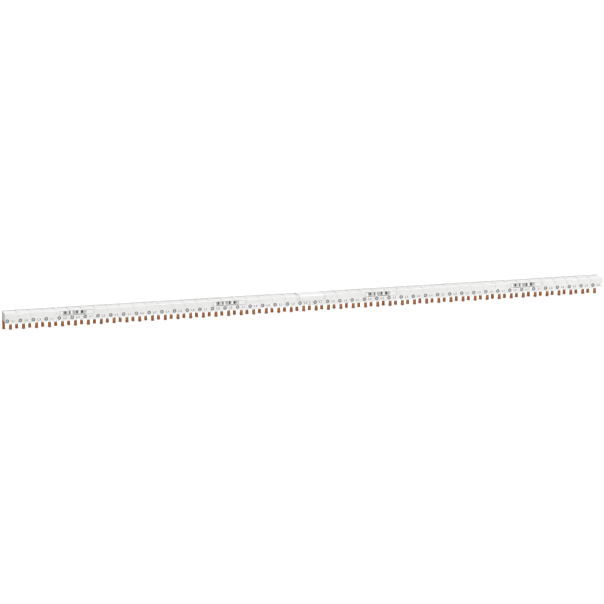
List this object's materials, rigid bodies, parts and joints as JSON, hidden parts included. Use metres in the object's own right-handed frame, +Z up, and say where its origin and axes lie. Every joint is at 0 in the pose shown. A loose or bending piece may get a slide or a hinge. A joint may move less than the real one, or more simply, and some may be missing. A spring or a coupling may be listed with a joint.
{
  "type": "comb busbar",
  "caption": "Insulated comb busbar: pale moulded housing in two halves with a joint sleeve, and two rows of flat copper teeth, neutral behind and phases in front, pointing down.",
  "frame": {"origin": "in the middle of the joint between the two halves, in the plane of the phase teeth, at the level of the tooth tips", "axes": "+X along the busbar to the right, +Y to the back where the neutral teeth stand, +Z up, away from the tooth tips"},
  "size_m": [0.8634, 0.025, 0.0269],
  "materials": {
    "housing": "pale grey moulded polycarbonate blend, satin",
    "cover": "pale grey moulded polycarbonate blend, satin",
    "sleeve": "pale grey moulded polycarbonate blend, smooth",
    "copper_neutral": "bare rolled copper strip, stamped",
    "copper_phase": "bare rolled copper strip, stamped and bent",
    "barrier": "extruded insulating strip, matte"
  },
  "bodies": {
    "root": {"housing_left": "housing", "housing_right": "housing", "cover_left": "cover", "cover_right": "cover", "joint_sleeve": "sleeve", "comb_n": "copper_neutral", "comb_l1": "copper_phase", "comb_l2": "copper_phase", "comb_l3": "copper_phase", "barrier_l1_l2": "barrier", "barrier_l2_l3": "barrier", "barrier_l3_n": "barrier"}
  },
  "joints": []
}
